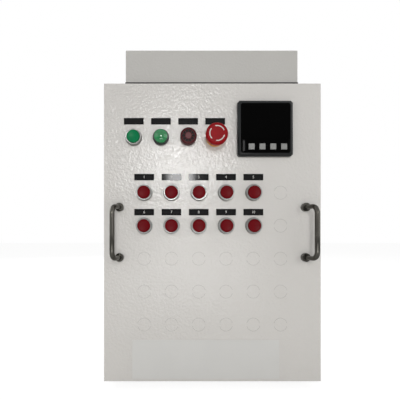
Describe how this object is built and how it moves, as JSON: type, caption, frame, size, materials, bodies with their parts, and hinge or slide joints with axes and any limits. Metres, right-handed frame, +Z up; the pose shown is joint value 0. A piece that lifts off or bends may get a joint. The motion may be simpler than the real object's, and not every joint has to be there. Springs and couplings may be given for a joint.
{
  "type": "generator load bank",
  "caption": "Sheet-metal cabinet with step push buttons, meter, lamp, buzzer and emergency stop; a fan-cooled resistor bank inside loads a generator.",
  "frame": {"origin": "bottom centre of the part's bounding box, on the floor under the feet", "axes": "+Z up, front control panel toward -Y, +X to the right as seen from the front"},
  "size_m": [0.38, 0.595, 0.596],
  "materials": {
    "cabinet_paint": "fine textured powder coat",
    "hood_grille_paint": "powder coat",
    "foot_rubber": "moulded",
    "handle_chrome": "polished",
    "bezel_metal": "satin",
    "black_plastic": "matt",
    "lamp_green": "clear gloss",
    "buzzer_red": "satin gloss",
    "stop_yellow": "satin",
    "stop_stem": "matt",
    "stop_red": "gloss",
    "meter_black": "fine matt",
    "meter_glass": "gloss black",
    "key_grey": "matt",
    "label_black": "gloss",
    "plate_grey": "satin film",
    "zinc_steel": "zinc plated",
    "resistor_ceramic": "unglazed",
    "thermal_black": "matt",
    "rotor_black": "matt",
    "stud_brass": "machined",
    "bar_copper": "bare copper",
    "button_red": "satin gloss",
    "start_green": "satin gloss"
  },
  "bodies": {
    "cabinet": {"front_panel": "cabinet_paint", "side_panel_left": "cabinet_paint", "side_panel_right": "cabinet_paint", "rear_panel": "cabinet_paint", "base_pan": "cabinet_paint", "top_cover": "cabinet_paint", "exhaust_hood": "cabinet_paint", "hood_grille": "hood_grille_paint", "feet": "foot_rubber", "handles": "handle_chrome", "handle_collars": "handle_chrome", "button_bezels": "bezel_metal", "contact_blocks": "black_plastic", "lamp_body": "black_plastic", "lamp_lens": "lamp_green", "buzzer": "buzzer_red", "estop_body": "stop_yellow", "meter_case": "meter_black", "meter_window": "meter_glass", "label_plates": "label_black", "rating_plate": "plate_grey", "resistor_rack": "zinc_steel", "resistor_elements": "resistor_ceramic", "thermal_switch": "thermal_black", "fan_plate": "zinc_steel", "fan_frames": "black_plastic", "gear_plate": "zinc_steel", "din_rail": "zinc_steel", "contactors": "black_plastic", "terminal_block": "black_plastic", "control_supply": "zinc_steel", "stud_insulator": "black_plastic", "load_studs": "stud_brass", "busbars": "bar_copper", "supply_inlet": "black_plastic"},
    "load_button_1": {"load_button_1": "button_red"},
    "load_button_2": {"load_button_2": "button_red"},
    "load_button_3": {"load_button_3": "button_red"},
    "load_button_4": {"load_button_4": "button_red"},
    "load_button_5": {"load_button_5": "button_red"},
    "load_button_6": {"load_button_6": "button_red"},
    "load_button_7": {"load_button_7": "button_red"},
    "load_button_8": {"load_button_8": "button_red"},
    "load_button_9": {"load_button_9": "button_red"},
    "load_button_10": {"load_button_10": "button_red"},
    "start_button": {"start_button": "start_green"},
    "meter_key_1": {"meter_key_1": "key_grey"},
    "meter_key_2": {"meter_key_2": "key_grey"},
    "meter_key_3": {"meter_key_3": "key_grey"},
    "meter_key_4": {"meter_key_4": "key_grey"},
    "estop_stem": {"estop_stem": "stop_stem"},
    "estop_head": {"estop_head": "stop_red"},
    "fan_rotor_left": {"fan_rotor_left": "rotor_black"},
    "fan_rotor_right": {"fan_rotor_right": "rotor_black"}
  },
  "joints": [
    {"name": "load_button_1_press", "type": "slide", "parent": "cabinet", "child": "load_button_1", "axis": [0, 1, 0], "range_m": [0, 0.003], "stiffness_N_per_m": 400},
    {"name": "load_button_2_press", "type": "slide", "parent": "cabinet", "child": "load_button_2", "axis": [0, 1, 0], "range_m": [0, 0.003], "stiffness_N_per_m": 400},
    {"name": "load_button_3_press", "type": "slide", "parent": "cabinet", "child": "load_button_3", "axis": [0, 1, 0], "range_m": [0, 0.003], "stiffness_N_per_m": 400},
    {"name": "load_button_4_press", "type": "slide", "parent": "cabinet", "child": "load_button_4", "axis": [0, 1, 0], "range_m": [0, 0.003], "stiffness_N_per_m": 400},
    {"name": "load_button_5_press", "type": "slide", "parent": "cabinet", "child": "load_button_5", "axis": [0, 1, 0], "range_m": [0, 0.003], "stiffness_N_per_m": 400},
    {"name": "load_button_6_press", "type": "slide", "parent": "cabinet", "child": "load_button_6", "axis": [0, 1, 0], "range_m": [0, 0.003], "stiffness_N_per_m": 400},
    {"name": "load_button_7_press", "type": "slide", "parent": "cabinet", "child": "load_button_7", "axis": [0, 1, 0], "range_m": [0, 0.003], "stiffness_N_per_m": 400},
    {"name": "load_button_8_press", "type": "slide", "parent": "cabinet", "child": "load_button_8", "axis": [0, 1, 0], "range_m": [0, 0.003], "stiffness_N_per_m": 400},
    {"name": "load_button_9_press", "type": "slide", "parent": "cabinet", "child": "load_button_9", "axis": [0, 1, 0], "range_m": [0, 0.003], "stiffness_N_per_m": 400},
    {"name": "load_button_10_press", "type": "slide", "parent": "cabinet", "child": "load_button_10", "axis": [0, 1, 0], "range_m": [0, 0.003], "stiffness_N_per_m": 400},
    {"name": "start_button_press", "type": "slide", "parent": "cabinet", "child": "start_button", "axis": [0, 1, 0], "range_m": [0, 0.003], "stiffness_N_per_m": 400},
    {"name": "meter_key_1_press", "type": "slide", "parent": "cabinet", "child": "meter_key_1", "axis": [0, 1, 0], "range_m": [0, 0.0008], "stiffness_N_per_m": 500},
    {"name": "meter_key_2_press", "type": "slide", "parent": "cabinet", "child": "meter_key_2", "axis": [0, 1, 0], "range_m": [0, 0.0008], "stiffness_N_per_m": 500},
    {"name": "meter_key_3_press", "type": "slide", "parent": "cabinet", "child": "meter_key_3", "axis": [0, 1, 0], "range_m": [0, 0.0008], "stiffness_N_per_m": 500},
    {"name": "meter_key_4_press", "type": "slide", "parent": "cabinet", "child": "meter_key_4", "axis": [0, 1, 0], "range_m": [0, 0.0008], "stiffness_N_per_m": 500},
    {"name": "estop_push", "type": "slide", "parent": "cabinet", "child": "estop_stem", "axis": [0, 1, 0], "range_m": [0, 0.005]},
    {"name": "estop_twist", "type": "hinge", "parent": "estop_stem", "child": "estop_head", "pos_m": [0.0049, -0.2695, 0.437], "axis": [0, 1, 0], "range_deg": [0, 45], "stiffness_Nm_per_rad": 0.05},
    {"name": "fan_rotor_left_spin", "type": "hinge", "parent": "cabinet", "child": "fan_rotor_left", "pos_m": [-0.085, -0.0725, 0.285], "axis": [0, 0, 1], "continuous": true},
    {"name": "fan_rotor_right_spin", "type": "hinge", "parent": "cabinet", "child": "fan_rotor_right", "pos_m": [0.085, -0.0725, 0.285], "axis": [0, 0, 1], "continuous": true}
  ]
}
